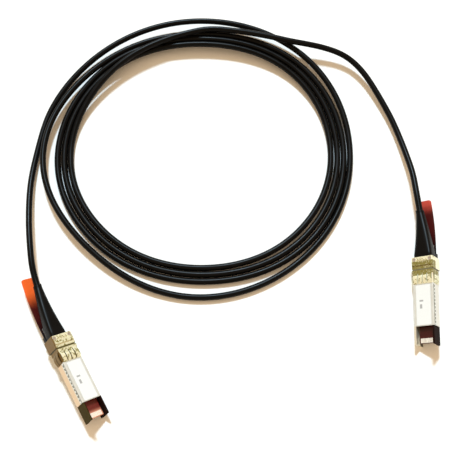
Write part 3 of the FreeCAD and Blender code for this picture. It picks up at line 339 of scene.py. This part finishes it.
def relief_surface(side, rows=70, columns=72):
    """Closed skin of a strain relief and, inside it, the cable's round end.

    Along u the line runs back from the metal and bends sideways as u squared.  Round v the
    section is a superellipse whose power falls from a rounded block to a circle; its half
    sizes stay level for a short stretch, taper in a straight line and swell by a tenth of a
    millimetre at the lip."""
    u = np.linspace(0.0, 1.0, rows)[:, None]
    v = np.linspace(0.0, 2 * np.pi, columns, endpoint=False)[None, :]
    low, high = relief_sides[side]
    taper = np.clip((u - taper_start) / taper_share, 0.0, 1.0)
    lip = lip_swell * np.clip((u - lip_start) / lip_share, 0.0, 1.0)
    power = block_power + power_gain * taper
    across = np.sign(np.cos(v)) * np.abs(np.cos(v)) ** power
    up = np.sign(np.sin(v)) * np.abs(np.sin(v)) ** power
    half_width = (high - low) / 2 * (1 - taper) + lip_radius * taper + lip
    half_height = relief_height / 2 * (1 - taper) + lip_radius * taper + lip
    x = -relief_length[side] * u + 0 * v
    y = (high + low) / 2 * (1 - taper) + relief_bend[side] * u ** 2 + half_width * across
    z = half_height * up
    skin, faces = closed_skin(np.stack([x, y, z], axis=-1))
    w = np.linspace(-inner_end / relief_length[side], 1.0, rows)[:, None]
    tube = np.stack([-relief_length[side] * w + 0 * v,
                     relief_bend[side] * np.clip(w, 0, 1) ** 2 + cable_radius * np.cos(v),
                     cable_radius * np.sin(v) + 0 * w], axis=-1)
    core, more_faces = closed_skin(tube, len(skin))
    return np.concatenate([skin, core]), faces + more_faces


for side in ("left", "right"):
    relief = place_mesh(f"{side}_strain_relief", side, *relief_surface(side))
    relief.data.materials.append(jacket_finish(f"{side}_relief_rubber", 0.0015, 0.36))
    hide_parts(f"{side}_boot", f"{side}_cable_end")
    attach(relief, "cable_and_plugs")
    dress(side, "tab_holder", jacket_finish(f"{side}_holder_plastic", 0.012, 0.34))

# ---------------------------------------------------------------------------------------------
# Base and lid: die-cast zinc with a bright nickel plating, satin from tumbling, with a fine dark
# seam where the lid meets the base and a row of small stakes that hold the lid down.
seam_height = 3.45
stake_pitch = 2.3
stake_height = 2.4
stake_run = (18.6, 44.5)
body_flank = (6.45, 6.6)
cap_joint = (7.7, 8.7)
joint_dark = 0.85
rear_end = (17.3, 17.7)
nickel_pale = ((0.64, 0.67, 0.65, 1), (0.76, 0.79, 0.77, 1))
# Tan of the painted shade low on the plug's flanks.
painted_tan_shade = (0.72, 0.52, 0.32, 1)
seam_tint = (0.050, 0.052, 0.022, 1)
# Painted at the rear end of base and lid: dark brown shade on the left plug, pale light on the right one.
rear_painted_light_and_shade = {"left": (0.17, 0.095, 0.022, 1), "right": (0.90, 0.85, 0.66, 1)}
flank_shade = {"left": 0.9, "right": 0.15}


def nickel_finish(side, piece):
    """Pale satin metal, dark at the seam and stakes on both flanks, with painted warm shade low on the flanks
    and painted light and shade at its rear end.
    """
    finish = Finish(f"{side}_{piece}_nickel", Metallic=0.55)
    x, y, z, local = plug_space(finish, side)
    cloud = finish.noise(0.35, 4.0, local)
    stretched = finish.node("ShaderNodeMapping", {}, local, (0, 0, 0), (0, 0, 0), (0.12, 1.0, 1.0))
    scratch = finish.noise(6.0, 2.0, stretched)
    flank = abs(y).rise(*body_flank) * x.within(*stake_run, 0.2)
    seam = 1 - abs(z - seam_height).rise(0.26, 0.42)
    along = (x / stake_pitch).math("FRACT") - 0.5
    stake = 1 - (abs(along).rise(0.24, 0.34) + abs(z - stake_height).rise(0.40, 0.55)
                 ).math("MINIMUM", 1.0)
    dark = flank * (seam * (0.55 + 0.45 * cloud.rise(0.42, 0.56)) + stake).math("MINIMUM", 1.0)
    clean = finish.blend(cloud, *nickel_pale)
    # Painted shade: the lower flanks turn tan, strongly on the left plug and faintly on the right.
    shaded = abs(y).rise(6.3, 6.6) * (1 - z.rise(0.5, 2.4)) * flank_shade[side]
    clean = finish.blend(shaded, clean, painted_tan_shade)
    # Painted light and shade at the rear end, one per plug.
    clean = finish.blend(1 - x.rise(*rear_end), clean, rear_painted_light_and_shade[side])
    joint = x.within(*cap_joint, 0.15) * joint_dark
    dark = dark.math("MAXIMUM", joint)
    finish.feed("Base Color", finish.blend(dark, clean, seam_tint))
    finish.feed("Roughness", 0.26 + cloud * 0.16 + scratch * 0.06)
    edge = finish.soft_edges(0.00018)
    finish.feed("Normal", finish.relief(scratch - dark, 0.00003, 0.6, edge))
    return finish.material


# ---------------------------------------------------------------------------------------------
# Rear block, cap and spring collar: the same zinc and a stamped copper-alloy sheet, both with a thin pale
# gilt plating.
# Cloudy olive patches lie on it, with an olive band of painted shade across the rear and brown painted shade
# on one outer flank.
# Per plug: spread of the olive patches, strength of the painted flank shade, strength of the painted band
# shade.
gilt_looks = (("left", 0.06, 0.97, 0.15), ("right", 0.04, 0.10, 1.0))
gilt_pale = ((0.93, 0.95, 0.76, 1), (0.82, 0.80, 0.54, 1))
olive_on_top = (0.25, 0.22, 0.06, 1)
painted_brown_shade = (0.15, 0.078, 0.009, 1)
painted_shade_band = (3.0, 12.0)
gilt_joint = (7.6, 8.8)


def gilt_finish(side, piece, spread, outer_shade, band_shade):
    """Pale gilt with cloudy olive patches, an olive band of painted shade, brown painted shade on one flank
    and a dark joint.
    """
    finish = Finish(f"{side}_{piece}_gilt", Metallic=0.6)
    x, y, z, local = plug_space(finish, side)
    cloud = finish.noise(0.42, 3.0, local)
    speckle = finish.noise(1.6, 2.0, local)
    outward = (-1.0 if side == "left" else 1.0) * y
    # Painted shade: one outer flank darkens to brown, strongly on the left plug and faintly on the right.
    flank = outward.rise(5.9, 6.6) * outer_shade
    # Painted shade: an olive band across the rear, strongly on the right plug and faintly on the left.
    band = x.within(*painted_shade_band, 0.5) * (band_shade - 0.8 * band_shade * speckle.rise(0.52, 0.66))
    joint = x.within(*gilt_joint, 0.25) * joint_dark
    patch = (cloud * 0.6 + speckle * 0.4).rise(0.56 - spread, 0.62 - spread) * 0.85
    dark = (patch + band).math("MAXIMUM", joint).math("MAXIMUM", flank).math("MINIMUM", 1.0)
    pale = finish.blend(cloud, *gilt_pale)
    olive = finish.blend(flank, olive_on_top, painted_brown_shade)
    finish.feed("Base Color", finish.blend(dark, pale, olive))
    finish.feed("Roughness", 0.30 + cloud * 0.2)
    finish.feed("Normal", finish.relief(speckle, 0.00002, 0.4, finish.soft_edges(0.00014)))
    return finish.material


for side, spread, outer_shade, band_shade in gilt_looks:
    for piece in ("base_shell", "top_cover"):
        dress(side, piece, nickel_finish(side, piece))
    for piece in ("rear_cap", "slot_keeper", "emi_collar"):
        dress(side, piece, gilt_finish(side, piece, spread, outer_shade, band_shade))

# ---------------------------------------------------------------------------------------------
# Nose frame: a frame round the board's tongue, slightly glossy, coloured dark brown as painted shade in the
# plug's mouth.  The outer wall on one side carries olive painted shade on the left plug and shows plated
# metal on the right one.
# Dark brown of the painted shade in the mouth.
brown = ((0.003, 0.0015, 0.001, 1), (0.018, 0.005, 0.003, 1))
olive_shade_wall = (0.050, 0.036, 0.008, 1)
plated_wall = (0.80, 0.78, 0.66, 1)
has_olive_shade = {"left": 1.0, "right": 0.0}
has_plating = {"left": 0.0, "right": 1.0}

for side in ("left", "right"):
    finish = Finish(f"{side}_nose_shade_and_plating", Specular_IOR_Level=0.05)
    x, y, z, local = plug_space(finish, side)
    cloud = finish.noise(0.5, 3.0, local)
    outside = (-y).rise(5.6, 6.2) * has_olive_shade[side]
    # Painted shade: the frame's dark brown, and on the left plug an olive outer wall.
    dark = finish.blend(cloud, *brown)
    dark = finish.blend(outside, dark, olive_shade_wall)
    plated = (-y).rise(5.0, 5.4) * has_plating[side]
    finish.feed("Base Color", finish.blend(plated, dark, plated_wall))
    finish.feed("Metallic", plated * 0.8)
    finish.feed("Roughness", 0.5 + cloud * 0.2 - plated * 0.2)
    finish.feed("Normal", finish.soft_edges(0.00015))
    dress(side, "nose_frame", finish.material)

# ---------------------------------------------------------------------------------------------
# Label: blank white polyester, satin, with two small plain grey blocks in place of any print.
paper_white = ((0.70, 0.71, 0.70, 1), (0.75, 0.76, 0.75, 1))
block_grey = (0.26, 0.26, 0.26, 1)
block_depth = 0.8

for side in ("left", "right"):
    finish = Finish(f"{side}_label_film", Specular_IOR_Level=0.4)
    x, y, z, local = plug_space(finish, side)
    blocks = (x.within(28.2, 29.2, 0.1) * y.within(-2.6, -0.2, 0.1)
              + x.within(31.0, 33.6, 0.1) * y.within(-2.4, -1.0, 0.1)).math("MINIMUM", 1.0)
    fibre = finish.noise(1.4, 3.0, local)
    paper = finish.blend(fibre, *paper_white)
    finish.feed("Base Color", finish.blend(blocks * block_depth, paper, block_grey))
    finish.feed("Roughness", 0.38 + fibre * 0.12)
    dress(side, "blank_label", finish.material)

# ---------------------------------------------------------------------------------------------
# Board: fibreglass under a dark red-brown solder mask, with raised copper traces that run from
# the conductors to the contacts.  The contacts are hard gold.
# Painted light: a pool of red-orange light on the mask just behind the contacts, strong on the left plug and
# faint on the right; the same lit colour faintly tints the traces. The right plug's mask and lit colour are
# darker as painted shade.
lit_and_trace_tint = {"left": (0.80, 0.33, 0.20, 1), "right": (0.28, 0.03, 0.02, 1)}
mask_lit_and_shaded = {"left": (0.11, 0.004, 0.004, 1), "right": (0.030, 0.0015, 0.0015, 1)}
front_light = {"left": 0.85, "right": 0.10}
trace_pitch = 0.8
trace_field = 4.2

for side in ("left", "right"):
    finish = Finish(f"{side}_solder_mask", Specular_IOR_Level=0.3)
    x, y, z, local = plug_space(finish, side)
    lane = (y / trace_pitch + 0.5).math("FRACT") - 0.5
    trace = (1 - abs(lane).rise(0.14, 0.2)) * abs(y).within(0.0, trace_field, 0.1)
    # Painted light near the contacts, plus a faint tint along the traces.
    copper = x.rise(49.5, 53.5) * front_light[side] + trace * 0.10
    finish.feed("Base Color", finish.blend(copper, mask_lit_and_shaded[side], lit_and_trace_tint[side]))
    finish.feed("Roughness", 0.32 - trace * 0.06)
    finish.feed("Normal", finish.relief(trace, 0.00004, 0.8))
    dress(side, "paddle_card", finish.material)
    gold = Finish(f"{side}_hard_gold", Metallic=0.15)
    wear = gold.noise(900.0)
    gold.feed("Base Color", gold.blend(wear, (0.90, 0.84, 0.70, 1), (0.95, 0.93, 0.86, 1)))
    gold.feed("Roughness", 0.2 + wear * 0.15)
    dress(side, "contact_pads", gold.material)
    chips = Finish(f"{side}_moulded_chips", Base_Color=(0.02, 0.02, 0.022, 1), Roughness=0.45)
    chips.feed("Normal", chips.relief(chips.noise(5000.0), 0.00002, 0.4))
    dress(side, "card_components", chips.material)
    foil = Finish(f"{side}_wire_foil", Metallic=0.8)
    crease = foil.noise(1500.0)
    foil.feed("Base Color", foil.blend(crease, (0.62, 0.62, 0.6, 1), (0.82, 0.82, 0.8, 1)))
    foil.feed("Roughness", 0.3 + crease * 0.2)
    foil.feed("Normal", foil.relief(crease, 0.00008, 0.7))
    dress(side, "signal_wires", foil.material)
    brass = Finish(f"{side}_ferrule_brass", Metallic=1.0)
    stain = brass.noise(500.0)
    brass.feed("Base Color", brass.blend(stain, (0.70, 0.55, 0.28, 1), (0.82, 0.68, 0.40, 1)))
    brass.feed("Roughness", 0.3 + stain * 0.15)
    dress(side, "crimp_ferrule", brass.material)

# ---------------------------------------------------------------------------------------------
# Latch, slider, screws, pin, spring and rivet: plain stainless steel, brushed along the plug.
steel_pieces = ("release_slider", "latch_lever", "latch_pin", "latch_spring", "tab_rivet",
                "cap_screws")
steel_grey = ((0.50, 0.49, 0.47, 1), (0.66, 0.65, 0.62, 1))

for side in ("left", "right"):
    for piece in steel_pieces:
        finish = Finish(f"{side}_{piece}_steel", Metallic=1.0)
        x, y, z, local = plug_space(finish, side)
        stretched = finish.node("ShaderNodeMapping", {}, local, (0, 0, 0), (0, 0, 0),
                                (0.1, 3.0, 3.0))
        brushed = finish.noise(3.0, 3.0, stretched)
        finish.feed("Base Color", finish.blend(brushed, *steel_grey))
        finish.feed("Roughness", 0.24 + brushed * 0.18)
        edge = finish.soft_edges(0.0001)
        finish.feed("Normal", finish.relief(brushed, 0.000015, 0.5, edge))
        dress(side, piece, finish.material)

# ---------------------------------------------------------------------------------------------
# Pull tabs: soft red plastic strip, thicker along its rim, riveted under the strain relief.  It
# is bright orange-red at its free end, and painted shade darkens it to a deep red where it lies under the
# boot, more on the right plug than on the left.
tab_width = 10.4
tab_thick = 0.7
tab_reach = {"left": 45.4, "right": 42.0}
tab_lean = {"left": 3.0, "right": -2.4}
tab_front = 0.8
tab_middle = -6.25
tab_corner = 1.4
rivet_back = 10.0
bright_span = {"left": (22.0, 8.0), "right": (11.0, 1.0)}
# The right plug's end colour is darker as painted shade.
end_red_and_shade = {"left": (0.78, 0.115, 0.018, 1), "right": (0.50, 0.062, 0.040, 1)}
painted_shade_reds = ((0.003, 0.0008, 0.0006, 1), (0.055, 0.003, 0.002, 1))


def tab_surface(side, rows=90, columns=28):
    """Closed skin of the strip.

    Along u the strip runs from its front edge to its free end; its half width is constant and
    follows a corner circle near the free end.  Round v the section is a flat superellipse,
    thicker along its rim than in its web.  The line leans sideways as the strain relief does,
    with the square of the distance behind the rivet."""
    u = np.linspace(0.0, 1.0, rows)[:, None]
    v = np.linspace(0.0, 2 * np.pi, columns, endpoint=False)[None, :]
    reach = tab_front + (tab_reach[side] - tab_front) * u
    left = np.clip(1 - (tab_reach[side] - reach) / tab_corner, 0.0, 1.0)
    half = tab_width / 2 - tab_corner * (1 - np.sqrt(1 - left ** 2))
    across = np.sign(np.cos(v)) * np.abs(np.cos(v)) ** 0.35
    up = np.sign(np.sin(v)) * np.abs(np.sin(v)) ** 0.35
    web = 0.72 + 0.28 * np.clip(np.abs(across) * 1.35 - 0.35, 0, 1) ** 4
    lean = tab_lean[side] * np.clip((reach - rivet_back) / (tab_reach[side] - rivet_back), 0, 1) ** 2
    points = np.stack([-reach + 0 * v, lean + half * across,
                       tab_middle + tab_thick / 2 * up * web + 0 * u], axis=-1)
    return closed_skin(points)


for side in ("left", "right"):
    tab = place_mesh(f"{side}_tab_strip", side, *tab_surface(side))
    finish = Finish(f"{side}_tab_plastic", Specular_IOR_Level=0.2)
    x, y, z, local = plug_space(finish, side)
    cloud = finish.noise(0.5, 3.0, local)
    first, last = bright_span[side]
    start, end = tab_reach[side] - first, tab_reach[side] - last
    toward_end = (-x + (cloud - 0.5) * 3.0).rise(start, end)
    # Painted shade: the strip darkens toward the plug where the strain relief shades it.
    deep = finish.blend((-x).rise(4.0, 22.0), *painted_shade_reds)
    finish.feed("Base Color", finish.blend(toward_end, deep, end_red_and_shade[side]))
    finish.feed("Roughness", 0.34 + cloud * 0.12)
    finish.feed("Normal", finish.relief(finish.noise(3.0, 2.0, local), 0.00002, 0.4))
    tab.data.materials.append(finish.material)
    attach(tab, f"{side}_release")
    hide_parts(f"{side}_pull_tab")

# ---------------------------------------------------------------------------------------------
# Studio: pale floor, one broad cool sun behind the coil and a warm glow from all round.  The
# camera itself sees the surroundings as white.
floor_white = (0.93, 0.93, 0.92, 1)
sun_width = 9.0
sun_strength = 3.9
sun_colour = (0.66, 0.86, 1.0)
sun_place = (-0.18, 1.20, 1.45)
glow_colour = (0.80, 0.59, 0.38, 1)
seen_colour = (1.0, 1.0, 1.0, 1)

floor_mesh = bpy.data.meshes.new("floor")
floor_mesh.from_pydata([(-4, -4, 0), (4, -4, 0), (4, 4, 0), (-4, 4, 0)], [], [(0, 1, 2, 3)])
floor = bpy.data.objects.new("floor", floor_mesh)
scene.collection.objects.link(floor)
floor_mesh.materials.append(Finish("floor_paper", Base_Color=floor_white,
                                   Roughness=0.9, Specular_IOR_Level=0.1).material)

lamp_data = bpy.data.lights.new("key", "SUN")
lamp_data.angle = math.radians(sun_width)
lamp_data.energy = sun_strength
lamp_data.color = sun_colour
lamp = bpy.data.objects.new("key", lamp_data)
lamp.location = sun_place
lamp.rotation_euler = (look_at - lamp.location).to_track_quat("-Z", "Y").to_euler()
scene.collection.objects.link(lamp)

world = bpy.data.worlds.new("studio")
scene.world = world
world.use_nodes = True
nodes = world.node_tree.nodes
links = world.node_tree.links
path = nodes.new("ShaderNodeLightPath")
backdrop = nodes.new("ShaderNodeMix")
backdrop.data_type = "RGBA"
backdrop.inputs[6].default_value = glow_colour
backdrop.inputs[7].default_value = seen_colour
links.new(path.outputs["Is Camera Ray"], backdrop.inputs[0])
links.new(backdrop.outputs[2], nodes["Background"].inputs["Color"])
